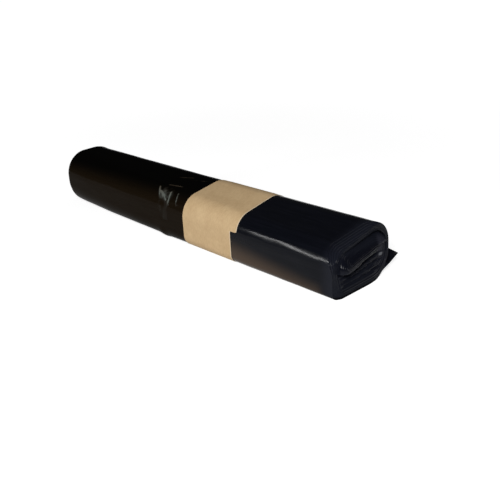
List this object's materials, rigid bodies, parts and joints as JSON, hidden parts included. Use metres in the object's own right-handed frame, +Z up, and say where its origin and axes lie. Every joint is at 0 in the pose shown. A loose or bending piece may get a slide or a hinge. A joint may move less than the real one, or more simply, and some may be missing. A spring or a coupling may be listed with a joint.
{
  "type": "bin bag roll",
  "caption": "Coreless roll of black polythene refuse sacks, pressed flatter at one end, held by a kraft paper band, the free end of film standing off behind.",
  "frame": {"origin": "under the middle of the roll's wound length, on the flat it rests on", "axes": "+X along the roll, towards the pressed end where the inner turns have slid out; -Y towards the smooth front side; +Z up from the flat it rests on"},
  "size_m": [0.4681, 0.1079, 0.069],
  "materials": {
    "film": "glossy black polythene",
    "kraft": "smooth brown kraft paper"
  },
  "bodies": {
    "root": {"bag_roll": "film", "paper_band": "kraft"}
  },
  "joints": []
}
